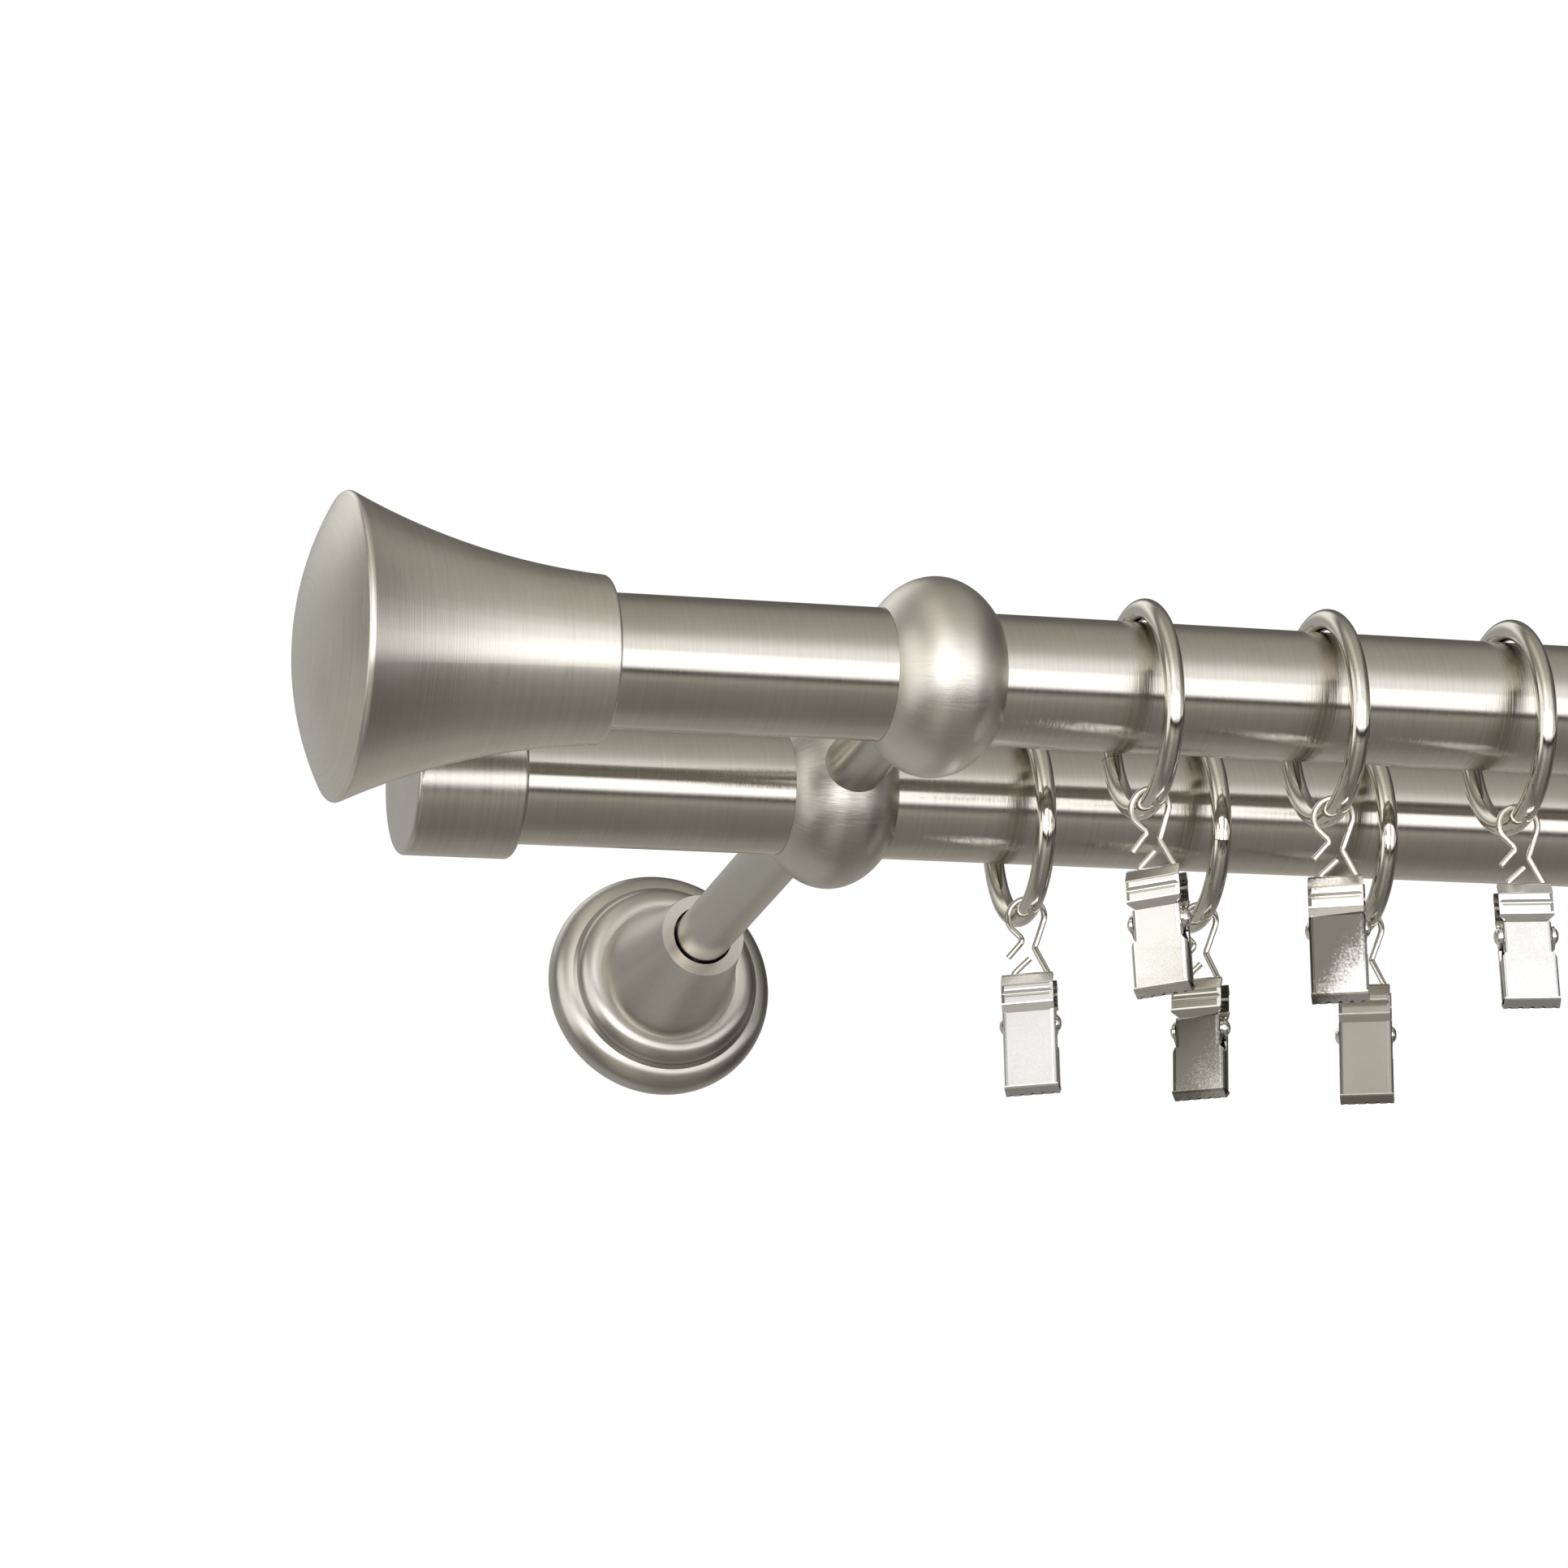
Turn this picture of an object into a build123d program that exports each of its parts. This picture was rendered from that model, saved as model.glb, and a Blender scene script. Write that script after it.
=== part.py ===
from build123d import *
import os
from math import acos, atan2, cos, degrees, hypot, radians, sin, sqrt, tan

# Double curtain pole: two brushed tubes on two wall brackets, one behind the other.
# The front tube ends in trumpet finials and the rear tube in plain caps. Rings slide
# on both tubes, and each carries a sprung clip on a bent wire hook.
# X runs along the tubes to the right, Y into the wall and Z up. The wall face is
# Y = 0, and the origin lies midway between the brackets at the height of their stems.

# tubes
bracket_spacing = 1030.0
pole_overhang = 85.0
pole_radius = 12.5
pole_wall = 1.0
rear_pole_out = 128.0
front_pole_out = 193.0
sliding_gap = 0.05
seat_gap = 0.02

# finials on the front tube
finial_length = 49.0
finial_rim_radius = 28.5
finial_waist_radius = 19.45
finial_collar_radius = 15.6
finial_dome_height = 7.5
finial_rim_rounding = 1.0
finial_collar_rounding = 0.8
finial_grip = 21.0
finial_relief_radius = 9.0
finial_relief_depth = 14.0

# end caps on the rear tube
cap_wall = 1.7
cap_radius = 15.5
cap_grip = 20.0
cap_rounding = 1.0

# round holders of the brackets
holder_radius = 18.9
holder_half_width = 14.2
stem_radius = 6.0
stem_socket_floor = 14.8
stem_spigot_radius = 3.5
stem_spigot_length = 2.0

# wall plate and its turned cover
plate_radius = 22.9
plate_thickness = 3.5
plate_screw_rise = 15.0
plate_screw_radius = 2.5
plate_screw_head_radius = 4.4
plate_stud_radius = 4.0
plate_stud_length = 10.0
cover_base_radius = 24.9
cover_bead_radius = 21.0
cover_step_radius = 20.3
cover_throat_radius = 15.0
cover_waist_radius = 11.4
cover_collar_radius = 9.1
cover_bead_height = 6.6
cover_step_height = 7.4
cover_throat_height = 11.0
cover_height = 37.1
cover_wall = 1.6
cover_hole_radius = 6.5

# set screws with a hexagon socket
holder_screw_radius = 2.0
holder_screw_length = 5.0
finial_screw_radius = 1.5
finial_screw_length = 2.6
finial_screw_inset = 7.0
screw_socket_share = 0.5
screw_gap = 0.03

# curtain rings of round wire
ring_wire_radius = 2.05
ring_radius = 18.94
ring_seam_gap = 0.12

# wire hook between a ring and its clip
hook_wire_radius = 0.6
hook_loop_radius = 3.7
hook_loop_rise = 13.0
hook_bend_radius = 1.0
hook_hang_gap = 0.05
hook_free_end = (-3.9, 4.8)
hook_left_waist = (-0.7, 8.2)
hook_right_waist = (1.5, 6.4)
hook_half_bar = 4.5
hook_stub_end = (0.5, 4.3)

# sprung clip of folded sheet, measured from the middle of the hook's bar
sheet = 0.6
clip_height = 23.5
clip_depth = 4.4
clip_half_width = 5.35
tab_half_width = 5.2
tab_corner = 0.7
cap_foot = -1.6
upper_bead = 2.4
groove_high = 3.0
groove_low = 3.3
lower_bead = 3.9
tab_foot = 5.2
rivet_drop = 9.2
rivet_radius = 0.8
rivet_head_radius = 1.7
rivet_head_height = 0.8
rivet_gap = 0.05
bar_offset = 0.9
bar_gap = 0.06
ear_gap = 0.05
ear_corner = 0.9
flange_depth = 1.9
ear_lobe = 1.45
outer_ear_lobe = 1.9
ear_root_top = 6.9
ear_root_bottom = 13.0
waist_taper = 1.1
plate_top = 6.8
lip_rise = 1.0
lip_gap = 0.05
tooth_radius = 0.45
tooth_count = 5
bead_swell = 0.9
bead_groove = 0.5
bead_end_run = 0.7
bead_end_drop = 0.45
fold_radius = 0.32
leg_gap = 0.15
plain_tab_offset = 1.95
plain_tab_top = 0.2

# spring between the jaws
spring_wire_radius = 0.22
spring_coil_radius = 1.3
spring_turns = 5.5
spring_pitch = 1.0
spring_leg = 4.2

# Each hanging set: tube, number, place along the tube from the left stem and the
# form of the jaw that faces the room.
hangers = [
    ("front", 1, 41.3, "waisted"),
    ("front", 2, 78.65, "straight"),
    ("front", 3, 117.15, "waisted"),
    ("rear", 1, 39.7, "straight"),
    ("rear", 2, 76.7, "waisted"),
    ("rear", 3, 112.8, "straight"),
]

# For each set in turn, in degrees: turn of the ring, place of the ring's seam, turn
# of the hook and lean of the hook.
hanger_angles = [
    (-2.6, 259, -40, 1),
    (-2.6, 320, -28, 3.5),
    (-2.6, 300, -15, 2),
    (-3.4, 310, -30, 2.5),
    (-3, 115, -40, 5),
    (-3, 330, -27, 4.5),
]

pole_outs = {"front": front_pole_out, "rear": rear_pole_out}
left_stem = -bracket_spacing / 2
pole_length = bracket_spacing + 2 * pole_overhang
bore_radius = pole_radius + sliding_gap
pole_end = pole_length / 2
ring_drop = ring_radius - ring_wire_radius - pole_radius - sliding_gap

os.makedirs("parts", exist_ok=True)


# The tubes are drawn thin and run through the holders.
for side, out in pole_outs.items():
    with BuildPart() as pole:
        with BuildSketch(Plane.YZ.offset(-pole_end)):
            with Locations((-out, 0)):
                Circle(pole_radius)
                Circle(pole_radius - pole_wall, mode=Mode.SUBTRACT)
        extrude(amount=pole_length)
    pole.part.label = f"{side}_pole"
    export_step(pole.part, f"parts/{side}_pole.step")


# The finial is a casting turned to a trumpet with a low domed face. The tube enters
# its collar and stops on the shoulder of the relief behind. Here x is the distance
# from the rim towards the collar, drawn for the left end and mirrored for the right.
rim_to_tube = finial_length - finial_grip
with BuildPart() as finial:
    with BuildSketch(Plane.XY) as trumpet:
        with BuildLine():
            rim = (0, finial_rim_radius)
            collar = (finial_length, finial_collar_radius)
            flare = ThreePointArc(rim, (finial_length / 2, finial_waist_radius), collar)
            Line(flare @ 1, (finial_length, bore_radius))
            Line((finial_length, bore_radius), (rim_to_tube, bore_radius))
            Line((rim_to_tube, bore_radius), (rim_to_tube, finial_relief_radius))
            relief_end = rim_to_tube - finial_relief_depth
            Line((rim_to_tube, finial_relief_radius), (relief_end, finial_relief_radius))
            Line((relief_end, finial_relief_radius), (relief_end, 0))
            Line((relief_end, 0), (-finial_dome_height, 0))
            dome_sphere = (finial_rim_radius**2 + finial_dome_height**2) / (2 * finial_dome_height)
            dome_mid = finial_rim_radius / 2
            dome_sag = dome_sphere - sqrt(dome_sphere**2 - dome_mid**2)
            ThreePointArc((-finial_dome_height, 0), (dome_sag - finial_dome_height, dome_mid), rim)
        make_face()
        fillet(trumpet.vertices().sort_by(Axis.Y)[-1], finial_rim_rounding)
        collar_corners = trumpet.vertices().group_by(Axis.X)[-1]
        fillet(collar_corners.sort_by(Axis.Y)[-1], finial_collar_rounding)
    revolve(axis=Axis.X)
    with BuildSketch(Plane.XY.offset(finial_rim_radius)):
        with Locations((finial_length - finial_screw_inset, 0)):
            Circle(finial_screw_radius + screw_gap)
    extrude(amount=-finial_rim_radius + pole_radius / 2, mode=Mode.SUBTRACT)

rim_x = pole_end + rim_to_tube
for side, turn in (("left", 0), ("right", 180)):
    with BuildPart() as placed_finial:
        with Locations(Location((-rim_x if turn == 0 else rim_x, -front_pole_out, 0), (0, 0, turn))):
            add(finial.part)
    placed_finial.part.label = f"{side}_finial"
    export_step(placed_finial.part, f"parts/{side}_finial.step")


# The rear tube ends in a plain turned cup.
cap_length = cap_grip + cap_wall
with BuildPart() as end_cap:
    with BuildSketch(Plane.YZ):
        Circle(cap_radius)
    extrude(amount=cap_length)
    fillet(end_cap.edges().filter_by(GeomType.CIRCLE), cap_rounding)
    with BuildSketch(Plane.YZ.offset(cap_wall)):
        Circle(bore_radius)
    extrude(amount=cap_grip, mode=Mode.SUBTRACT)
    with BuildSketch(Plane.XY.offset(cap_radius)):
        with Locations((cap_length - finial_screw_inset, 0)):
            Circle(finial_screw_radius + screw_gap)
    extrude(amount=-cap_radius + pole_radius / 2, mode=Mode.SUBTRACT)

cap_x = pole_end + cap_wall
for side, turn in (("left", 0), ("right", 180)):
    with BuildPart() as placed_cap:
        with Locations(Location((-cap_x if turn == 0 else cap_x, -rear_pole_out, 0), (0, 0, turn))):
            add(end_cap.part)
    placed_cap.part.label = f"{side}_end_cap"
    export_step(placed_cap.part, f"parts/{side}_end_cap.step")


# Each bracket carries two round holders on one line of stem. A holder is a swollen
# ring with a socket for the stem on the wall side, and on the rear holder a second
# socket faces the room. A set screw from above holds the tube.
def holder(piece_name, x, out, stem_sides):
    with BuildPart() as bead:
        with BuildSketch(Plane.XY):
            Ellipse(holder_half_width, holder_radius)
            with Locations((0, bore_radius)):
                Rectangle(
                    2 * holder_half_width,
                    bore_radius + holder_radius,
                    align=(Align.CENTER, Align.MAX),
                    mode=Mode.SUBTRACT,
                )
        revolve(axis=Axis.X)
        for facing in stem_sides:
            with BuildSketch(Plane.XZ.offset(-facing * stem_socket_floor)):
                Circle(stem_radius + seat_gap)
            extrude(amount=-facing * holder_radius, mode=Mode.SUBTRACT)
            with BuildSketch(Plane.XZ):
                Circle(stem_spigot_radius + seat_gap)
            extrude(amount=-facing * holder_radius, mode=Mode.SUBTRACT)
        with BuildSketch(Plane.XY):
            Circle(holder_screw_radius + screw_gap)
        extrude(amount=holder_radius, mode=Mode.SUBTRACT)
    with BuildPart() as placed_bead:
        with Locations((x, -out, 0)):
            add(bead.part)
    placed_bead.part.label = piece_name
    export_step(placed_bead.part, f"parts/{piece_name}.step")


# A stem is a round bar with a turned spigot where it enters a holder.
spacer_from = rear_pole_out + stem_socket_floor
spacer_to = front_pole_out - stem_socket_floor
wall_stem_to = rear_pole_out - stem_socket_floor

for side, x in (("left", left_stem), ("right", -left_stem)):
    holder(f"{side}_front_holder", x, front_pole_out, (1,))
    holder(f"{side}_rear_holder", x, rear_pole_out, (1, -1))

    with BuildPart() as spacer:
        with BuildSketch(Plane.XZ.offset(spacer_from)):
            with Locations((x, 0)):
                Circle(stem_radius)
        extrude(amount=spacer_to - spacer_from)
        with BuildSketch(Plane.XZ.offset(spacer_from - stem_spigot_length)):
            with Locations((x, 0)):
                Circle(stem_spigot_radius)
        extrude(amount=spacer_to - spacer_from + 2 * stem_spigot_length)
    spacer.part.label = f"{side}_spacer_stem"
    export_step(spacer.part, f"parts/{side}_spacer_stem.step")

    with BuildPart() as stem:
        with BuildSketch(Plane.XZ.offset(plate_thickness)):
            with Locations((x, 0)):
                Circle(stem_radius)
        extrude(amount=wall_stem_to - plate_thickness)
        with BuildSketch(Plane.XZ.offset(wall_stem_to)):
            with Locations((x, 0)):
                Circle(stem_spigot_radius)
        extrude(amount=stem_spigot_length)
        with BuildSketch(Plane.XZ.offset(plate_thickness)):
            with Locations((x, 0)):
                Circle(plate_stud_radius + seat_gap)
        extrude(amount=plate_stud_length + 2 * stem_spigot_length, mode=Mode.SUBTRACT)
    stem.part.label = f"{side}_wall_stem"
    export_step(stem.part, f"parts/{side}_wall_stem.step")

    with BuildPart() as plate:
        with BuildSketch(Plane.XZ):
            with Locations((x, 0)):
                Circle(plate_radius)
        extrude(amount=plate_thickness)
        with BuildSketch(Plane.XZ):
            with Locations((x, 0)):
                Circle(plate_stud_radius)
        extrude(amount=plate_thickness + plate_stud_length)
        screw_height = (-plate_screw_rise, plate_screw_rise)
        for rise in screw_height:
            screw_face = Plane((x, -plate_thickness, rise), x_dir=(1, 0, 0), z_dir=(0, -1, 0))
            with Locations(screw_face):
                CounterSinkHole(plate_screw_radius, plate_screw_head_radius, depth=plate_thickness)
    plate.part.label = f"{side}_wall_plate"
    export_step(plate.part, f"parts/{side}_wall_plate.step")

    # The cover is spun sheet: a rounded foot, a second bead and a hollow cone that
    # ends in a flat face round the stem. Its foot fits over the rim of the plate.
    with BuildPart() as cover:
        with BuildSketch(Plane.XY):
            with BuildLine():
                foot = ThreePointArc(
                    (cover_base_radius, 0),
                    (cover_base_radius - 0.1 * cover_wall, -cover_bead_height / 2),
                    (cover_bead_radius, -cover_bead_height),
                )
                step = Line(foot @ 1, (cover_step_radius, -cover_step_height))
                bead_depth = cover_throat_height - cover_step_height
                throat = ThreePointArc(
                    step @ 1,
                    (cover_step_radius - 0.45 * bead_depth, -cover_step_height - 0.8 * bead_depth),
                    (cover_throat_radius, -cover_throat_height),
                )
                cone_middle = (cover_throat_height + cover_height) / 2
                cone = ThreePointArc(
                    throat @ 1,
                    (cover_waist_radius, -cone_middle),
                    (cover_collar_radius, -cover_height),
                )
                face = Line(cone @ 1, (cover_hole_radius, -cover_height))
                lip = Line(face @ 1, (cover_hole_radius, -cover_height + cover_wall))
                inner_cone = ThreePointArc(
                    (cover_collar_radius - cover_wall, -cover_height + cover_wall),
                    (cover_waist_radius - cover_wall, -cone_middle),
                    (cover_throat_radius - cover_wall, -cover_throat_height + cover_wall),
                )
                Line(lip @ 1, inner_cone @ 0)
                foot_bore = plate_radius + seat_gap
                bead_inside = (cover_bead_radius - cover_wall, -cover_bead_height + cover_wall)
                inner_bead = Line(inner_cone @ 1, bead_inside)
                Line(inner_bead @ 1, (foot_bore, -plate_thickness - seat_gap))
                Line((foot_bore, -plate_thickness - seat_gap), (foot_bore, 0))
                Line((foot_bore, 0), foot @ 0)
            make_face()
        revolve(axis=Axis.Y)
    with BuildPart() as placed_cover:
        with Locations((x, 0, 0)):
            add(cover.part)
    placed_cover.part.label = f"{side}_wall_cover"
    export_step(placed_cover.part, f"parts/{side}_wall_cover.step")


# Set screws stand on the tube, their sockets facing up.
def set_screw(radius, length):
    with BuildPart() as screw:
        with BuildSketch(Plane.XY):
            Circle(radius)
        extrude(amount=length)
        with BuildSketch(Plane.XY.offset(length)):
            RegularPolygon(radius * screw_socket_share, 6, major_radius=False)
        extrude(amount=-length * screw_socket_share, mode=Mode.SUBTRACT)
    return screw.part


holder_screw_places = [
    (x, -out, pole_radius) for x in (left_stem, -left_stem) for out in pole_outs.values()
]
with BuildPart() as holder_screws:
    with Locations(*holder_screw_places):
        add(set_screw(holder_screw_radius, holder_screw_length))
holder_screws.part.label = "holder_set_screws"
export_step(holder_screws.part, "parts/holder_set_screws.step")

end_screw_x = pole_end - finial_grip + finial_screw_inset
cap_screw_x = pole_end - cap_grip + finial_screw_inset
end_screw_places = [(x, -front_pole_out, pole_radius) for x in (-end_screw_x, end_screw_x)]
end_screw_places += [(x, -rear_pole_out, pole_radius) for x in (-cap_screw_x, cap_screw_x)]
with BuildPart() as end_screws:
    with Locations(*end_screw_places):
        add(set_screw(finial_screw_radius, finial_screw_length))
end_screws.part.label = "end_set_screws"
export_step(end_screws.part, "parts/end_set_screws.step")


# A ring is round wire bent to a circle, its ends almost touching at the seam.
with BuildPart() as ring:
    with BuildSketch(Plane.XZ):
        with Locations((ring_radius, 0)):
            Circle(ring_wire_radius)
    revolve(axis=Axis.Z, revolution_arc=360 - degrees(ring_seam_gap / ring_radius))


# The hook is one length of wire, drawn in the XZ plane with its bar at the origin.
# Its open loop goes over the ring, one leg runs down to the bar that lies in the
# clip's hem, and the wire comes up again as a short stub.
def tangent_point(point, centre, radius, side):
    reach = hypot(point[0] - centre[0], point[1] - centre[1])
    heading = atan2(point[1] - centre[1], point[0] - centre[0]) + side * acos(radius / reach)
    return centre[0] + radius * cos(heading), centre[1] + radius * sin(heading)


loop_centre = (0.0, hook_loop_rise)
loop_left = tangent_point(hook_left_waist, loop_centre, hook_loop_radius, -1)
loop_right = tangent_point(hook_right_waist, loop_centre, hook_loop_radius, 1)
with BuildPart() as hook:
    with BuildLine(Plane.XZ) as hook_path:
        end_run = FilletPolyline(hook_free_end, hook_left_waist, loop_left, radius=hook_bend_radius)
        loop = ThreePointArc(loop_left, (0, hook_loop_rise + hook_loop_radius), loop_right)
        FilletPolyline(
            loop_right,
            hook_right_waist,
            (hook_half_bar, 0),
            (-hook_half_bar, 0),
            hook_stub_end,
            radius=hook_bend_radius,
        )
    with BuildSketch(Plane(origin=end_run @ 0, z_dir=end_run % 0)):
        Circle(hook_wire_radius)
    sweep(path=hook_path.wire())


# The jaws are drawn as the one that faces the room, with y from the rivet and z from
# the hook's bar. The line is the inside of the sheet. From the bottom it has a
# slanted toothed lip, the plate, a step out to the thumb tab with its two beads, and
# at the top a hem rolled over the hook's bar, or a plain edge on the other jaw.
inside = sheet - clip_depth / 2
bead_y = inside - bead_swell
groove_y = bead_y + bead_groove
hem_centre = (-bar_offset, 0)
hem_bore = hook_wire_radius + bar_gap
hem_start = tangent_point((bead_y, cap_foot), hem_centre, hem_bore, -1)
hem_back = -bar_offset + hem_bore
hem_top = hem_bore + sheet
lip_top = sheet + lip_rise - clip_height
outer_ear = clip_half_width
inner_ear = clip_half_width - sheet - ear_gap


# How far from the middle a leg of the hook passes through the top of the hem.
def leg_inner_edge(corner, end):
    run = hypot(end[0] - corner, end[1])
    centre = corner + hem_top * (end[0] - corner) / end[1]
    return abs(centre) - hook_wire_radius * run / end[1] - leg_gap


# A channel folded from the sheet, with round bends and sides of the given depth.
def channel(half, depth, low, high):
    with BuildPart() as fold:
        with BuildSketch(Plane.XY.offset(low)) as section:
            with Locations((0, -clip_depth / 2)):
                Rectangle(2 * half, depth, align=(Align.CENTER, Align.MIN))
            fillet(section.vertices().group_by(Axis.Y)[0], ear_corner)
            with Locations((0, inside)):
                Rectangle(
                    2 * (half - sheet),
                    depth,
                    align=(Align.CENTER, Align.MIN),
                    mode=Mode.SUBTRACT,
                )
        extrude(amount=high - low)
    return fold.part


# The ears are the sides of a deep channel, trimmed to a lobe round the rivet.
def ears(half, lobe):
    with BuildPart() as flange:
        add(channel(half, clip_depth, -ear_root_bottom, -ear_root_top))
        with BuildSketch(Plane.YZ.offset(-half)):
            with Locations((-clip_depth / 2, -ear_root_bottom)):
                Rectangle(sheet, ear_root_bottom - ear_root_top, align=(Align.MIN, Align.MIN))
            with Locations((0, -rivet_drop)):
                Circle(lobe)
            make_hull()
        extrude(amount=2 * half, mode=Mode.INTERSECT)
    return flange.part


def jaw(waisted, hemmed):
    ear_half = inner_ear if waisted else outer_ear
    with BuildPart() as leaf:
        with BuildSketch(Plane.YZ.offset(-clip_half_width)):
            with BuildLine():
                lower = [
                    (-inside, lip_top - 2 * lip_rise),
                    (inside, lip_top),
                    (inside, -plate_top),
                    (bead_y, -tab_foot),
                    (bead_y, -lower_bead),
                    (groove_y, -groove_low),
                    (groove_y, -groove_high),
                    (bead_y, -upper_bead),
                    (bead_y, cap_foot),
                ]
                if hemmed:
                    FilletPolyline(*lower, hem_start, radius=fold_radius)
                    ThreePointArc(hem_start, (-bar_offset, hem_bore), (hem_back, 0))
                    Line((hem_back, 0), (hem_back, -hook_wire_radius))
                else:
                    FilletPolyline(*lower, (-plain_tab_offset, plain_tab_top), radius=fold_radius)
                offset(amount=sheet, side=Side.LEFT)
            make_face()
        extrude(amount=2 * clip_half_width)

        # the flat of the sheet seen from the front, between the bends of its sides
        with BuildSketch(Plane.XZ.offset(clip_depth)) as outline:
            flat_half = clip_half_width - ear_corner
            tab_end = -ear_root_top + waist_taper if waisted else -plate_top
            neck = ear_half - ear_corner
            waist = [
                (neck, -ear_root_top),
                (neck, -ear_root_bottom),
                (flat_half, -ear_root_bottom - waist_taper),
            ]
            with BuildLine():
                right_edge = Polyline(
                    (0, hem_top),
                    (tab_half_width, hem_top),
                    (tab_half_width, tab_end),
                    *(waist if waisted else [(flat_half, -plate_top)]),
                    (flat_half, lip_top),
                    (clip_half_width, lip_top),
                    (clip_half_width, -clip_height),
                    (0, -clip_height),
                )
                mirror(right_edge, about=Plane.YZ)
            make_face()
            fillet(outline.vertices().group_by(Axis.Y)[-1], tab_corner)
        extrude(amount=-2 * clip_depth, mode=Mode.INTERSECT)

        # the folded sides of the plate, with sloped shoulders below a waist
        side_top = -ear_root_bottom if waisted else -plate_top
        add(channel(clip_half_width, flange_depth, lip_top, side_top))
        if waisted:
            with BuildSketch(Plane.XZ.offset(clip_depth)):
                Polygon(
                    (inner_ear, -ear_root_bottom),
                    (clip_half_width, -ear_root_bottom - waist_taper),
                    (clip_half_width, -ear_root_bottom),
                    align=None,
                )
                mirror(about=Plane.YZ)
            extrude(amount=-2 * clip_depth, mode=Mode.SUBTRACT)

        # the beads run out before the ends of the tab
        bead_front = bead_y - sheet
        with BuildSketch(Plane.XY.offset(-tab_foot)):
            Polygon(
                (tab_half_width - bead_end_run, bead_front),
                (tab_half_width, bead_front),
                (tab_half_width, bead_front + bead_end_drop),
                align=None,
            )
            mirror(about=Plane.YZ)
        extrude(amount=tab_foot + cap_foot, mode=Mode.SUBTRACT)

        # openings in the hem for the two legs of the hook
        if hemmed:
            for edge, turn in ((stub_edge, -1), (leg_edge, 1)):
                with BuildSketch(Plane.XY.offset(cap_foot)):
                    with Locations((turn * (edge + clip_half_width / 2), hem_back - hem_bore - hem_bore)):
                        Rectangle(clip_half_width, clip_depth, align=(Align.CENTER, Align.MIN))
                extrude(amount=hem_top - cap_foot, mode=Mode.SUBTRACT)

        add(ears(ear_half, ear_lobe if waisted else outer_ear_lobe))
        with BuildSketch(Plane.YZ.offset(-clip_half_width)):
            with Locations((0, -rivet_drop)):
                Circle(rivet_radius + rivet_gap)
        extrude(amount=2 * clip_half_width, mode=Mode.SUBTRACT)

        # the lip stops short of its partner and is notched into teeth
        with BuildSketch(Plane.XY.offset(-clip_height)):
            with Locations((0, -lip_gap)):
                Rectangle(2 * clip_half_width, clip_depth, align=(Align.CENTER, Align.MIN))
            with Locations((0, -lip_gap)):
                with GridLocations(2 * clip_half_width / tooth_count, 1, tooth_count, 1):
                    Circle(tooth_radius)
        extrude(amount=clip_height - ear_root_bottom - waist_taper, mode=Mode.SUBTRACT)
    return leaf.part


stub_edge = leg_inner_edge(-hook_half_bar, hook_stub_end)
leg_edge = leg_inner_edge(hook_half_bar, hook_right_waist)
jaws = {}
for waisted in (True, False):
    for hemmed in (True, False):
        jaws[waisted, hemmed] = jaw(waisted, hemmed)


# The rivet is a round pin with a domed head outside each ear.
with BuildPart() as rivet:
    with BuildSketch(Plane.XY):
        with BuildLine():
            head_tip = clip_half_width + rivet_head_height
            head_sag = 0.7 * rivet_head_radius
            half_head = ThreePointArc(
                (head_tip, 0),
                (clip_half_width + 0.68 * rivet_head_height, head_sag),
                (clip_half_width, rivet_head_radius),
            )
            shank = Polyline(
                half_head @ 1, (clip_half_width, rivet_radius), (0, rivet_radius)
            )
            mirror(half_head, about=Plane.YZ)
            mirror(shank, about=Plane.YZ)
            Line((head_tip, 0), (-head_tip, 0))
        make_face()
    revolve(axis=Axis.X)


# The spring is a coil round the rivet with a straight leg against each jaw.
coil_length = spring_pitch * spring_turns
with BuildPart() as spring:
    with BuildLine():
        coil = Helix(spring_pitch, coil_length, spring_coil_radius)
    with BuildSketch(Plane(origin=coil @ 0, z_dir=coil % 0)):
        Circle(spring_wire_radius)
    sweep(path=coil, is_frenet=True)
    first_leg = Plane(origin=coil @ 0, z_dir=(coil % 0) * -1)
    last_leg = Plane(origin=coil @ 1, z_dir=coil % 1)
    for leg_plane in (first_leg, last_leg):
        with BuildSketch(leg_plane):
            Circle(spring_wire_radius)
        extrude(amount=spring_leg)


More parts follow.
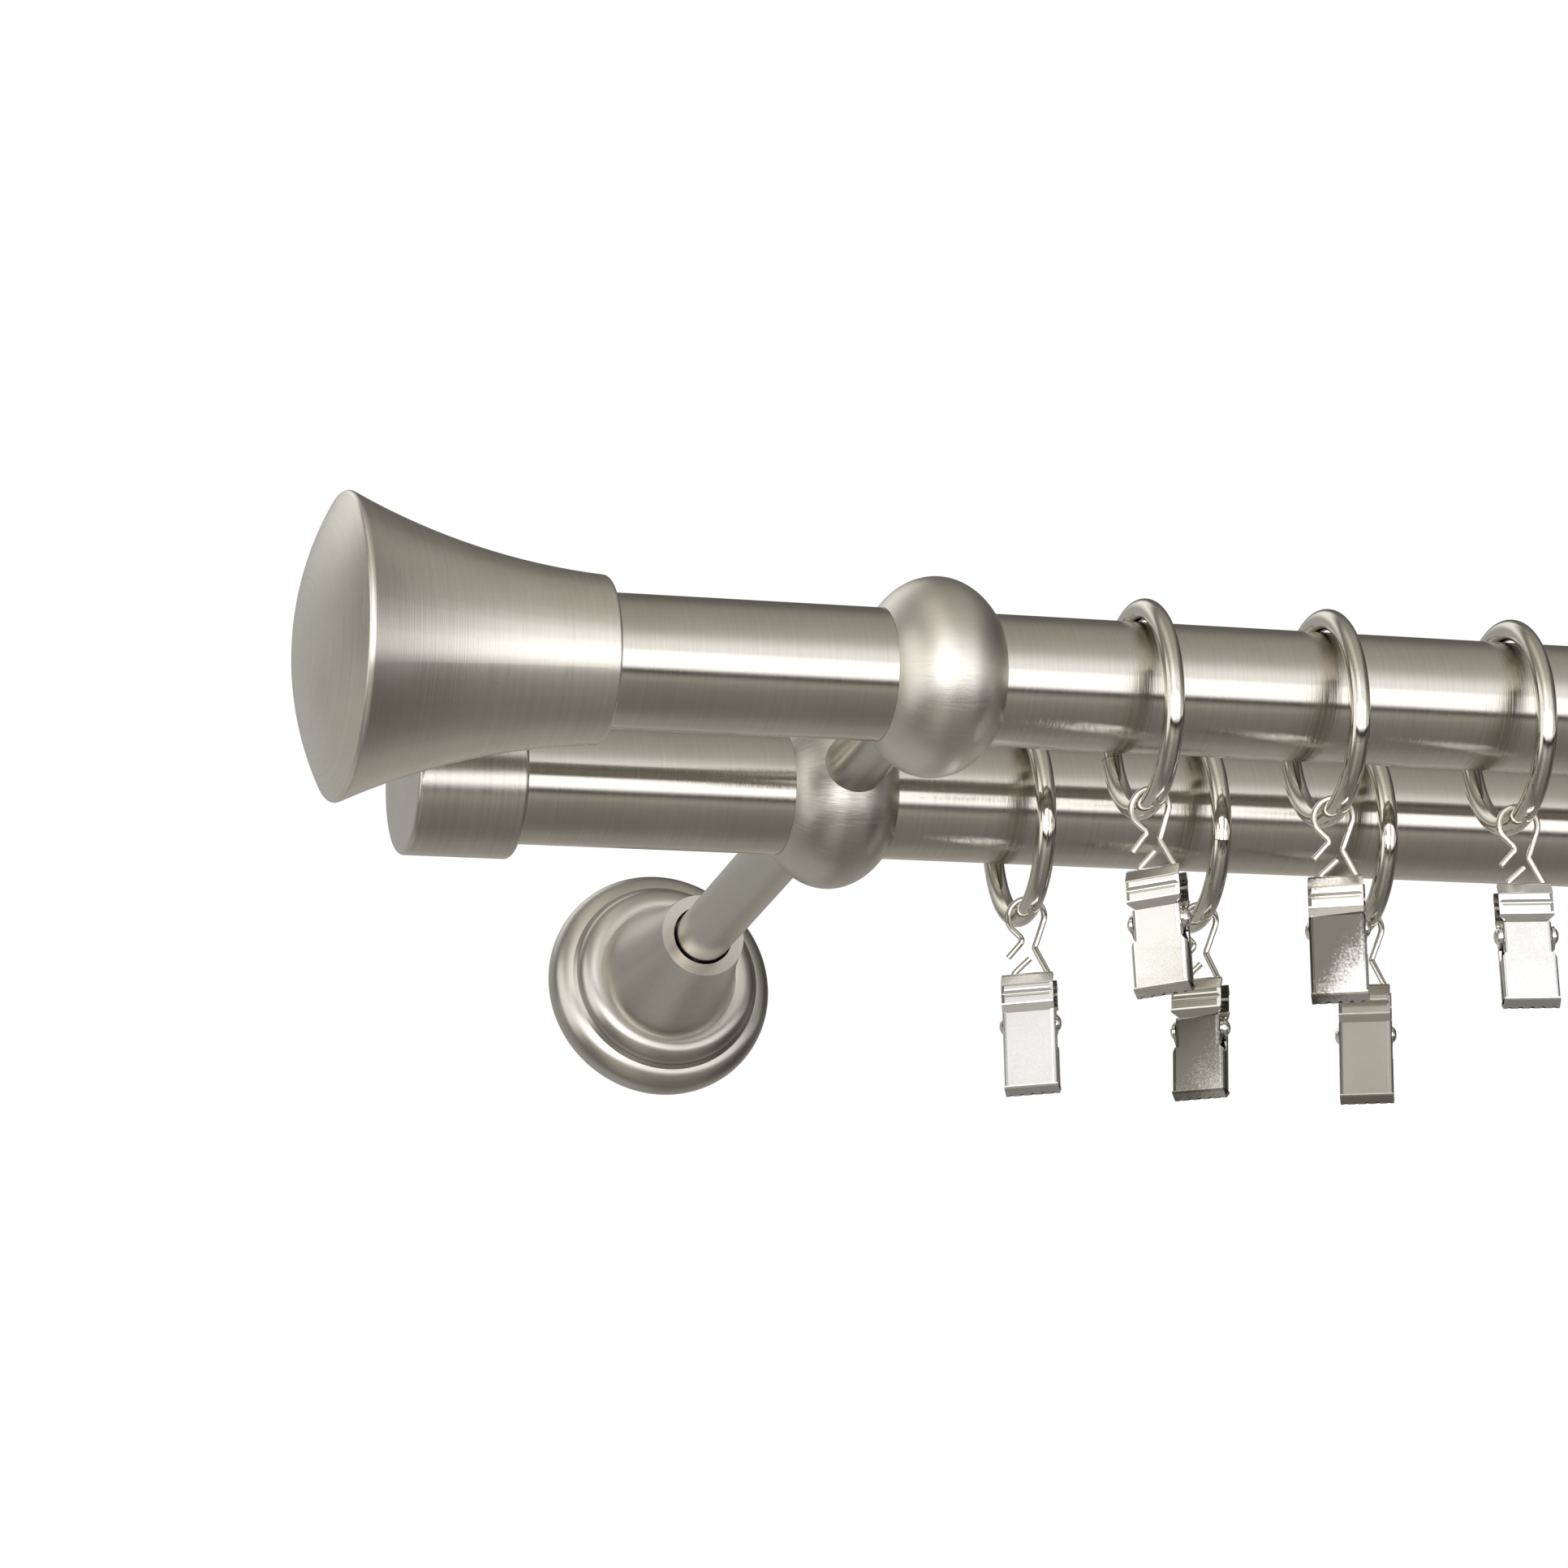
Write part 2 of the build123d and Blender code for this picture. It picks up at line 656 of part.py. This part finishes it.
# Everything that hangs: the ring on its tube, the hook in the ring, and the clip
# on the hook's bar. A much turned hook rides a little higher on the ring, because the
# ring's wire then crosses its loop at a slant and needs the wide middle of it.
for (side, number, along, face), angles in zip(hangers, hanger_angles):
    ring_turn, seam, hook_turn, lean = angles
    ring_centre = Vector(left_stem + along, -pole_outs[side], -ring_drop)
    turned = radians(ring_turn)
    ring_plane = Plane(ring_centre, x_dir=(0, 0, 1), z_dir=(cos(turned), sin(turned), 0))
    with BuildPart() as placed_ring:
        with Locations(ring_plane.location * Location((0, 0, 0), (0, 0, seam))):
            add(ring.part)
    placed_ring.part.label = f"{side}_ring_{number}"
    export_step(placed_ring.part, f"parts/{side}_ring_{number}.step")

    slant = abs(radians(hook_turn - ring_turn))
    apart = hook_wire_radius + ring_wire_radius + hook_hang_gap
    hang = hook_loop_radius - apart
    if hang < hook_loop_radius * sin(slant) ** 2:
        apart += (hook_loop_radius * sin(slant)) ** 2 / (4 * ring_radius)
        hang = tan(slant) * sqrt((hook_loop_radius * cos(slant)) ** 2 - apart**2)
    wire_low = ring_centre - Vector(0, 0, ring_radius)
    bar_place = Location(wire_low, (0, 0, hook_turn)) * Location(
        (0, 0, 0), (0, lean, 0)
    ) * Location((0, 0, -hook_loop_rise - hang))
    clip_place = bar_place * Location((0, bar_offset, 0))
    rivet_place = clip_place * Location((0, 0, -rivet_drop))
    spring_plane = Plane(origin=(-coil_length / 2, 0, 0), x_dir=(0, -1, 0), z_dir=(1, 0, 0))
    other_place = clip_place * Location((0, 0, 0), (0, 0, 180))

    pieces = {
        "hook": (hook.part, bar_place),
        "clip_jaw": (jaws[face == "waisted", True], clip_place),
        "clip_back_jaw": (jaws[face != "waisted", False], other_place),
        "clip_rivet": (rivet.part, rivet_place),
        "clip_spring": (spring.part, rivet_place * spring_plane.location),
    }
    for kind, (shape, place) in pieces.items():
        with BuildPart() as piece:
            with Locations(place):
                add(shape)
        piece.part.label = f"{side}_{kind}_{number}"
        export_step(piece.part, f"parts/{side}_{kind}_{number}.step")
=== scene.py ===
import bpy
import math
import numpy as np
from mathutils import Matrix, Vector


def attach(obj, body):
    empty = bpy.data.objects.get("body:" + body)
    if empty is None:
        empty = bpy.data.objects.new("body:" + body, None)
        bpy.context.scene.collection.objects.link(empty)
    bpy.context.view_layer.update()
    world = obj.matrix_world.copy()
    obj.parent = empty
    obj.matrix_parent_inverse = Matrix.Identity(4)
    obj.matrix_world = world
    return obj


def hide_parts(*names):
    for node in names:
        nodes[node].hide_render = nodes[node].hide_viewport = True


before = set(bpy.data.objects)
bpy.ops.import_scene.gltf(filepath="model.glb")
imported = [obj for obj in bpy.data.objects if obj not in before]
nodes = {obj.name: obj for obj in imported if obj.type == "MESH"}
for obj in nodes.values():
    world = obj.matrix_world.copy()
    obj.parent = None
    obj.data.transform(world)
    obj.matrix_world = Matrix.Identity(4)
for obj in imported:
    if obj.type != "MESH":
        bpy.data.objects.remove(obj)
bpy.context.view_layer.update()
scene = bpy.context.scene
print("frame loaded:", len(nodes), "nodes")

mm = 0.001


# One output socket. Arithmetic on it adds Math nodes, so a mask reads as 1 - mask.
class Wire:
    def __init__(self, socket):
        self.socket = socket
        self.tree = socket.id_data

    # Adds any node to this wire's tree: its settings first, then its sockets.
    def node(self, kind, settings=None, sockets=None, output=0):
        made = self.tree.nodes.new("ShaderNode" + kind)
        for name, value in (settings or {}).items():
            if name == "stops":
                fillRamp(made.color_ramp, value)
            else:
                setattr(made, name, value)
        for name, value in (sockets or {}).items():
            if isinstance(value, Wire):
                self.tree.links.new(value.socket, made.inputs[name])
            else:
                made.inputs[name].default_value = value
        return Wire(made.outputs[output])

    def maths(self, operation, *values):
        return self.node("Math", {"operation": operation}, dict(enumerate(values)))

    def __add__(self, other):
        return self.maths("ADD", self, other)

    def __radd__(self, other):
        return self.maths("ADD", other, self)

    def __sub__(self, other):
        return self.maths("SUBTRACT", self, other)

    def __rsub__(self, other):
        return self.maths("SUBTRACT", other, self)

    def __mul__(self, other):
        return self.maths("MULTIPLY", self, other)

    def __rmul__(self, other):
        return self.maths("MULTIPLY", other, self)

    def __truediv__(self, other):
        return self.maths("DIVIDE", self, other)

    def __pow__(self, other):
        return self.maths("POWER", self, other)

    def __neg__(self):
        return self.maths("MULTIPLY", self, -1.0)

    # 0 at the first limit and 1 at the second, with a soft start and end.
    def remap(self, low, high):
        places = {"Value": self, "From Min": low, "From Max": high}
        return self.node("MapRange", {"interpolation_type": "SMOOTHSTEP"}, places)

    # The first colour where this wire is 0 and the second where it is 1.
    def mix(self, low, high):
        return self.node("Mix", {"data_type": "RGBA"}, {0: self, 6: low, 7: high}, output=2)

    def noise(self, scale, detail, roughness=0.5):
        places = {"Vector": self, "Scale": scale, "Detail": detail, "Roughness": roughness}
        return self.node("TexNoise", None, places)

    def bump(self, strength, distance):
        places = {"Height": self, "Strength": strength, "Distance": distance}
        return self.node("Bump", None, places)

    def axes(self):
        apart = self.node("SeparateXYZ", None, {0: self})
        return [Wire(apart.socket.node.outputs[k]) for k in range(3)]


def fillRamp(ramp, stops):
    while len(ramp.elements) < len(stops):
        ramp.elements.new(0.5)
    for element, (place, level) in zip(ramp.elements, stops):
        element.position = place
        element.color = (*level, 1.0)


def startMaterial(name):
    material = bpy.data.materials.new(name)
    material.use_nodes = True
    shader = material.node_tree.nodes["Principled BSDF"]
    coordinates = Wire(material.node_tree.nodes.new("ShaderNodeTexCoord").outputs["Object"])
    return material, shader, coordinates


def link(wire, shader, socketName):
    wire.tree.links.new(wire.socket, shader.inputs[socketName])


def scaled(colour, factor=1.0):
    return tuple(factor * c for c in colour) + (1.0,)


# Brushed nickel. Fine lines too thin to see spread the light across them, and coarser
# faint ones show in the colour.
brush = {
    "colour": (0.64, 0.61, 0.56),
    "darkColour": (0.575, 0.545, 0.495),
    "fineDensity": 9000.0,      # lines per metre across their run
    "coarseDensity": 1500.0,
    "lineRun": 30.0,            # and along it
    "reachShare": 0.7,
    "meanRadius": 28 * mm,      # stands for the radius where the lines run lengthwise
    "lengthwiseRun": 3.0,
    "cloudScale": 60.0,
    "coarseTint": 0.6,
    "cloudTint": 0.5,
    "coarseRoughness": 0.05,
    "cloudRoughness": 0.06,
}


# The lines run round an axis through the centre, or lengthwise along it. Across lines
# that run round it the place is the distance along the axis plus a share of the distance
# from it, so a flat turned face shows rings and a tube shows plain stripes. Across
# lengthwise lines it is the turn about the axis times a mean radius.
def brushedNickel(name, axis, centre, roughness, depth,
                  lengthwise=False, paintedLightLevel=1.0, cloudy=1.0, grain=1.0):
    material, shader, coordinates = startMaterial(name)
    origin = tuple(-c for c in centre)
    middle = coordinates.node("Mapping", None, {"Vector": coordinates, "Location": origin})
    parts = middle.axes()
    along = parts.pop(axis)
    reach = (parts[0] ** 2 + parts[1] ** 2) ** 0.5
    if lengthwise:
        across = along.maths("ARCTAN2", parts[1], parts[0]) * brush["meanRadius"]
        run = along * brush["lengthwiseRun"]
    else:
        across = along + reach * brush["reachShare"]
        run = parts[1] + parts[0] * 0.3    # any slant that isn't along a part's own axes
    layers = []
    for density, detail in ((brush["fineDensity"], 2.0), (brush["coarseDensity"], 4.0)):
        place = across.node("CombineXYZ", None, {0: across * density, 1: run * brush["lineRun"]})
        layers.append(place.noise(1.0, detail, 0.6))
    fine, coarse = layers
    lines = (coarse - 0.5) * grain
    clouds = (middle.noise(brush["cloudScale"], 3.0) - 0.5) * cloudy
    mask = (lines * brush["coarseTint"] + clouds * brush["cloudTint"]).remap(-0.25, 0.3)
    # Painted light and shade: the level factor makes this part's colour lighter or darker than
    # the same brushed nickel on the tubes.
    tint = mask.mix(scaled(brush["darkColour"], paintedLightLevel), scaled(brush["colour"], paintedLightLevel))
    uneven = lines * brush["coarseRoughness"] + clouds * brush["cloudRoughness"]
    link(tint, shader, "Base Color")
    link(roughness + uneven, shader, "Roughness")
    link(fine.bump(1.0, depth), shader, "Normal")
    shader.inputs["Metallic"].default_value = 1.0
    return material


polish = {
    "colour": (0.80, 0.775, 0.72),
    "waveScale": 420.0,
    "waveDepth": 0.02 * mm,
    "speckScale": 2400.0,
    "speckShare": 0.5,
    "speckShade": 0.8,
    "speckRoughness": 0.15,
    "waveRoughness": 0.05,
}


# Bright plating: almost a mirror, with faint waves and a few dull specks.
def brightNickel(name, roughness, colour, wave=1.0):
    material, shader, coordinates = startMaterial(name)
    waves = coordinates.noise(polish["waveScale"], 2.0)
    spots = coordinates.noise(polish["speckScale"], 3.0)
    dull = spots.remap(0.52, 0.70) * polish["speckShare"]
    uneven = dull * polish["speckRoughness"] + (waves - 0.5) * polish["waveRoughness"]
    link(dull.mix(scaled(colour), scaled(colour, polish["speckShade"])), shader, "Base Color")
    link(roughness + uneven, shader, "Roughness")
    link(waves.bump(0.5, polish["waveDepth"] * wave), shader, "Normal")
    shader.inputs["Metallic"].default_value = 1.0
    return material


# What the front plates of the six clips share.
reflectionAndSpeckle = {
    "tabFoot": -43.9 * mm,     # above this height lies the clip's rolled tab, without the painted reflection
    "tabFade": 0.2 * mm,
    "cloudScale": 260.0,
    "cloudDepth": 0.02 * mm,
    "cloudRoughness": 0.06,
    "spotShare": 2.4,
    "cloudShare": 1.2,
    "tabShare": 4.0,
}

# The six plates are painted as lit and shaded copies of one plating: some bright, some dark and
# speckled, one dull and dark.
# The painted reflection fades along a slant (x, z) per metre that is zero at the given place.
paintedClipLight = {
    "front_1": {"light": (0.96, 0.95, 0.92), "dark": (0.74, 0.71, 0.64), "rough": 0.16,
                "slant": (-60.0, 100.0), "zero": (-0.4715, -0.0575)},
    "front_2": {"light": (0.90, 0.88, 0.85), "dark": (0.15, 0.14, 0.12), "rough": 0.14,
                "slant": (230.0, -170.0), "zero": (-0.4355, -0.0530)},
    "front_3": {"light": (0.84, 0.84, 0.84), "dark": (0.70, 0.69, 0.67), "rough": 0.20,
                "slant": (20.0, -60.0), "zero": (-0.3975, -0.0540)},
    "rear_1": {"light": (0.86, 0.86, 0.86), "dark": (0.76, 0.75, 0.74), "rough": 0.20,
               "slant": (10.0, 60.0), "zero": (-0.4750, -0.0560)},
    "rear_2": {"light": (0.72, 0.70, 0.64), "dark": (0.23, 0.215, 0.185), "rough": 0.17,
               "slant": (150.0, -80.0), "zero": (-0.4365, -0.0550)},
    "rear_3": {"light": (0.42, 0.405, 0.355), "dark": (0.38, 0.365, 0.32), "rough": 0.34,
               "slant": (0.0, 50.0), "zero": (-0.4035, -0.0550)},
}


def paintedReflectionPlate(name, look):
    material, shader, coordinates = startMaterial("plate_" + name)
    x, y, z = coordinates.axes()
    zeroX, zeroZ = look["zero"]
    slantX, slantZ = look["slant"]
    # Painted reflection and shade: the plate turns from its dark to its light colour along the
    # slant, broken up by speckles and clouds.
    paintedReflectionRamp = (x - zeroX) * slantX + (z - zeroZ) * slantZ
    spots = coordinates.noise(polish["speckScale"], 3.0) - 0.5
    clouds = coordinates.noise(reflectionAndSpeckle["cloudScale"], 3.0)
    tab = z.remap(reflectionAndSpeckle["tabFoot"] - reflectionAndSpeckle["tabFade"], reflectionAndSpeckle["tabFoot"])
    uneven = spots * reflectionAndSpeckle["spotShare"] + (clouds - 0.5) * reflectionAndSpeckle["cloudShare"]
    mask = (paintedReflectionRamp + uneven + tab * reflectionAndSpeckle["tabShare"]).remap(-1.1, 1.1)
    link(mask.mix(scaled(look["dark"]), scaled(look["light"])), shader, "Base Color")
    link(look["rough"] + (clouds - 0.5) * reflectionAndSpeckle["cloudRoughness"], shader, "Roughness")
    link(clouds.bump(0.4, reflectionAndSpeckle["cloudDepth"]), shader, "Normal")
    shader.inputs["Metallic"].default_value = 1.0
    return material


frontAxis, rearAxis = (0, -0.193, 0), (0, -0.128, 0)
leftWall, rightWall = (-0.515, 0, 0), (0.515, 0, 0)
# The level factors paint the finial and front holder lighter and the rear holder and brackets
# darker than the tubes: painted light and shade.
finish = {
    "frontTube": brushedNickel("brushed_front_tube", 0, frontAxis, 0.13, 2.5e-5),
    "rearTube": brushedNickel("brushed_rear_tube", 0, rearAxis, 0.13, 2.5e-5),
    "finial": brushedNickel("brushed_finial", 0, frontAxis, 0.28, 2e-5,
                            paintedLightLevel=1.20, cloudy=1.5, grain=1.4),
    "cap": brushedNickel("brushed_cap", 0, rearAxis, 0.22, 3e-5, cloudy=1.5, grain=1.5),
    "frontHolder": brushedNickel("brushed_front_holder", 0, frontAxis, 0.30, 2.2e-5,
                                 lengthwise=True, paintedLightLevel=1.15, grain=0.8),
    "rearHolder": brushedNickel("brushed_rear_holder", 0, rearAxis, 0.26, 2.2e-5,
                                lengthwise=True, paintedLightLevel=0.97, grain=0.8),
    "leftBracket": brushedNickel("turned_left_bracket", 1, leftWall, 0.29, 6e-6, paintedLightLevel=0.92),
    "rightBracket": brushedNickel("turned_right_bracket", 1, rightWall, 0.29, 6e-6, paintedLightLevel=0.92),
    "ring": brightNickel("polished_ring", 0.05, (0.62, 0.59, 0.53)),
    "hook": brightNickel("polished_wire", 0.1, polish["colour"]),
    "sheet": brightNickel("plated_sheet", 0.12, (0.84, 0.82, 0.77), wave=2.0),
    "spring": brightNickel("spring_wire", 0.25, (0.5, 0.49, 0.47)),
    "screw": brightNickel("zinc_screw", 0.3, (0.55, 0.55, 0.54)),
}
for name, look in paintedClipLight.items():
    finish[name] = paintedReflectionPlate(name, look)
print("finishes ready:", len(finish))


# Joins a grid of points (rows, columns, 3) with four-sided faces. A closed grid also
# joins its last row to its first and its last column to its first.
def gridMesh(name, points, closed):
    rows, columns = points.shape[:2]
    index = np.arange(rows * columns).reshape(rows, columns)
    if closed:
        down = np.roll(index, -1, 0)
        quads = np.stack([index, np.roll(index, -1, 1), np.roll(down, -1, 1), down], -1)
    else:
        here, down = index[:-1], index[1:]
        quads = np.stack([here[:, :-1], here[:, 1:], down[:, 1:], down[:, :-1]], -1)
    mesh = bpy.data.meshes.new(name)
    mesh.from_pydata(points.reshape(-1, 3), [], quads.reshape(-1, 4))
    mesh.polygons.foreach_set("use_smooth", np.ones(len(mesh.polygons), bool))
    mesh.update()
    piece = bpy.data.objects.new(name, mesh)
    scene.collection.objects.link(piece)
    return piece


# A closed profile carried round an axis parallel to X. Row k of the grid is profile
# point (along, radius) and column j is the turn 2 pi j / turns:
# x = start + along, y = out + radius * cos(turn), z = radius * sin(turn).
def turnedAboutX(name, profile, start, out, turns):
    along, radius = np.array(profile, float).T
    turn = np.linspace(0, 2 * np.pi, turns, endpoint=False)
    points = np.empty((len(along), turns, 3))
    points[..., 0] = (start + along)[:, None]
    points[..., 1] = out + radius[:, None] * np.cos(turn)
    points[..., 2] = radius[:, None] * np.sin(turn)
    return gridMesh(name, points, closed=True)


def dress(piece, material):
    piece.data.materials.clear()
    piece.data.materials.append(material)


tube = {
    "radius": 12.5 * mm,
    "wall": 1.0 * mm,
    "length": 1200 * mm,
    "edge": 0.15 * mm,
    "bands": 24,
    "turns": 160,
    "frontOut": -193 * mm,
    "rearOut": -128 * mm,
    "sharpAngle": 40,
}


# The tube's wall as a closed loop: the outside, a small rounding, the end, the bore.
def tubeProfile():
    inner = tube["radius"] - tube["wall"]
    edge, end = tube["edge"], tube["length"]
    low = [(edge, inner), (0, inner + edge), (0, tube["radius"] - edge), (edge, tube["radius"])]
    places = np.linspace(edge, end - edge, tube["bands"] + 1)
    middle = [(x, tube["radius"]) for x in places[1:-1]]
    high = [(end - x, r) for x, r in reversed(low)]
    return low + middle + high


for side in ("front", "rear"):
    out = tube[side + "Out"]
    pole = turnedAboutX(side + "_tube", tubeProfile(), -tube["length"] / 2, out, tube["turns"])
    pole.data.set_sharp_from_angle(angle=math.radians(tube["sharpAngle"]))
    dress(pole, finish[side + "Tube"])
    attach(pole, "fixed_set")
    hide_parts(side + "_pole")
print("tubes made")


# The finish of a CAD node, from the words in its name.
def finishFor(node):
    words = node.split("_")
    side = words[0]
    if "set" in words:
        return finish["screw"]
    if "finial" in words:
        return finish["finial"]
    if "cap" in words:
        return finish["cap"]
    if "holder" in words:
        return finish["frontHolder" if "front" in words else "rearHolder"]
    if "wall" in words or "spacer" in words:
        return finish[side + "Bracket"]
    for word in ("ring", "hook", "spring"):
        if word in words:
            return finish[word]
    if "clip_jaw" in node:
        return finish[side + "_" + words[-1]]
    return finish["sheet"]


for name, piece in nodes.items():
    dress(piece, finishFor(name))
print("nodes dressed")


# Light seen in each direction round the tubes: degrees above the level of the room,
# from straight behind (-180) over the floor (-90), the room (0) and the ceiling (90)
# back to the wall (180), then the level and how warm it is.
skyLevels = [
    (-180, 0.50, 1), (-163, 0.42, 1), (-150, 0.38, 1), (-135, 0.36, 1), (-116, 0.26, 1),
    (-100, 0.23, 1), (-84, 0.24, 1), (-66, 0.28, 1), (-55, 0.33, 1), (-47, 0.44, 1),
    (-42, 0.36, 1), (-37, 0.05, 1), (-33, 0.12, 1), (-28.5, 1.95, 0), (-3, 1.95, 0),
    (1, 1.34, 0), (12, 1.28, 0), (22, 0.98, 0.3), (33, 0.67, 0.7), (45, 0.55, 1),
    (60, 0.48, 1), (78, 0.42, 1), (96, 0.34, 1), (113, 0.20, 1), (140, 0.13, 1),
    (160, 0.25, 1), (180, 0.50, 1),
]
skyTop = 2.0                  # the colour ramp holds the levels as shares of this
warm = (1.0, 0.95, 0.86)

# What varies that light along the room. A pair is where a mask starts and where it is
# full, in the part of the direction that its last letter names.
room = {
    "facingY": (0.15, -0.15),
    "spotRightX": (0.02, -0.20),
    "spotLeftX": (-0.66, -0.42),
    "spotGain": 0.6,
    "rightEndX": (0.58, 0.88),
    "rightLoss": 0.58,
    "leftEndX": (-0.46, -0.66),
    "leftLoss": 0.08,
    "panelX": (-0.74, -0.88),
    "panelY": (0.12, -0.10),
    "panelFootZ": (-0.55, -0.25),
    "panelTopZ": (0.70, 0.30),
    "panelLevel": 1.45,
    "wallX": (0.20, -0.10),
    "wallY": (0.20, 0.60),
    "cornerX": (-0.45, -0.65),
    "cornerZ": (0.28, 0.08),
    "cornerLoss": 0.75,
    "wallLevel": 0.48,
    "wallHighZ": (0.40, 0.75),
    "wallHighLevel": 0.75,
    "glowBlue": 0.96,
}


# The room is darker at the far right, with a lighter spot left of its middle, a bright
# panel at the far left and a pale wall behind. The camera itself sees plain white.
def buildWorld():
    world = bpy.data.worlds.new("studio")
    scene.world = world
    world.use_nodes = True
    tree = world.node_tree
    background = tree.nodes["Background"]
    direction = Wire(tree.nodes.new("ShaderNodeTexCoord").outputs["Generated"])
    x, y, z = direction.axes()
    turn = z.maths("ARCTAN2", z, -y) / (2 * math.pi) + 0.5
    stops = []
    for angle, level, warmth in skyLevels:
        colour = tuple(level / skyTop * (1 - warmth * (1 - c)) for c in warm)
        stops.append(((angle + 180) / 360, colour))
    sky = turn.node("ValToRGB", {"stops": stops}, {0: turn})
    facing = y.remap(*room["facingY"])
    spot = x.remap(*room["spotRightX"]) * x.remap(*room["spotLeftX"]) * facing
    ends = (room["rightLoss"] * x.remap(*room["rightEndX"])
            + room["leftLoss"] * x.remap(*room["leftEndX"]) * facing)
    window = 1 - ends + room["spotGain"] * spot
    panelHeight = z.remap(*room["panelFootZ"]) * z.remap(*room["panelTopZ"])
    panel = x.remap(*room["panelX"]) * y.remap(*room["panelY"]) * panelHeight
    corner = room["cornerLoss"] * x.remap(*room["cornerX"]) * z.remap(*room["cornerZ"])
    wall = y.remap(*room["wallY"]) * x.remap(*room["wallX"]) * (1 - corner)
    strength = window * skyTop * (1 - panel) * (1 - wall)
    shaded = sky.node("VectorMath", {"operation": "SCALE"}, {0: sky, "Scale": strength})
    wallGlow = room["wallLevel"] + room["wallHighLevel"] * z.remap(*room["wallHighZ"])
    glow = panel * room["panelLevel"] + wall * wallGlow
    glowing = glow.node("CombineXYZ", None, {0: glow, 1: glow, 2: glow * room["glowBlue"]})
    lit = shaded.node("VectorMath", {"operation": "ADD"}, {0: shaded, 1: glowing})
    seen = Wire(tree.nodes.new("ShaderNodeLightPath").outputs["Is Camera Ray"])
    tree.links.new(seen.mix(lit, (1.0, 1.0, 1.0, 1.0)).socket, background.inputs["Color"])


buildWorld()

ground = {
    "height": -0.62,
    "size": 12.0,
    "lines": 9,
    "colour": (0.88, 0.88, 0.87),
    "darkest": 0.97,
    "grainScale": 9.0,
    "roughness": 0.9,
}


def buildFloor():
    material, shader, coordinates = startMaterial("pale_floor")
    grain = coordinates.noise(ground["grainScale"], 4.0)
    tint = grain.mix(scaled(ground["colour"], ground["darkest"]), scaled(ground["colour"]))
    link(tint, shader, "Base Color")
    shader.inputs["Roughness"].default_value = ground["roughness"]
    half = ground["size"] / 2
    places = np.linspace(-half, half, ground["lines"])
    across, deep = np.meshgrid(places, places)
    points = np.stack([across, deep, np.full_like(across, ground["height"])], -1)
    floor = gridMesh("floor", points, closed=False)
    dress(floor, material)
    floor.visible_glossy = False    # the sky's levels already hold what the metal sees below


buildFloor()

lamp = {
    "place": (-0.2, -0.6, 4.0),
    "target": (-0.2, -0.4, 0),
    "size": (7.0, 5.0),
    "power": 170.0,
}


# Lights the floor from above. The metal doesn't mirror it.
def buildLamp():
    light = bpy.data.lights.new("overhead", "AREA")
    light.shape = "RECTANGLE"
    light.size, light.size_y = lamp["size"]
    light.energy = lamp["power"]
    overhead = bpy.data.objects.new("overhead", light)
    overhead.location = lamp["place"]
    aim = Vector(lamp["target"]) - Vector(lamp["place"])
    overhead.rotation_euler = aim.to_track_quat("-Z", "Y").to_euler()
    overhead.visible_glossy = False
    scene.collection.objects.link(overhead)


buildLamp()

view = {
    "place": (-0.80843, -0.99723, -0.32286),
    "yaw": 0.316,
    "pitch": 0.341,
    "roll": -0.064,
    "lens": 112.36,
    "sensor": 36.0,
}


# The camera's axes: forward from yaw and pitch, then right and up turned by the roll.
def buildCamera():
    yaw, pitch, roll = view["yaw"], view["pitch"], view["roll"]
    ahead = math.cos(pitch)
    forward = Vector((math.sin(yaw) * ahead, math.cos(yaw) * ahead, math.sin(pitch)))
    level = Vector((math.cos(yaw), -math.sin(yaw), 0))
    upright = level.cross(forward)
    right = math.cos(roll) * level + math.sin(roll) * upright
    up = -math.sin(roll) * level + math.cos(roll) * upright
    lens = bpy.data.cameras.new("photo_view")
    lens.lens = view["lens"]
    lens.sensor_width = view["sensor"]
    lens.clip_start, lens.clip_end = 0.05, 50.0
    camera = bpy.data.objects.new("photo_view", lens)
    turned = Matrix((right, up, -forward)).transposed().to_4x4()
    camera.matrix_world = Matrix.Translation(view["place"]) @ turned
    scene.collection.objects.link(camera)
    scene.camera = camera


buildCamera()
scene.view_settings.view_transform = "Standard"
print("stage set")
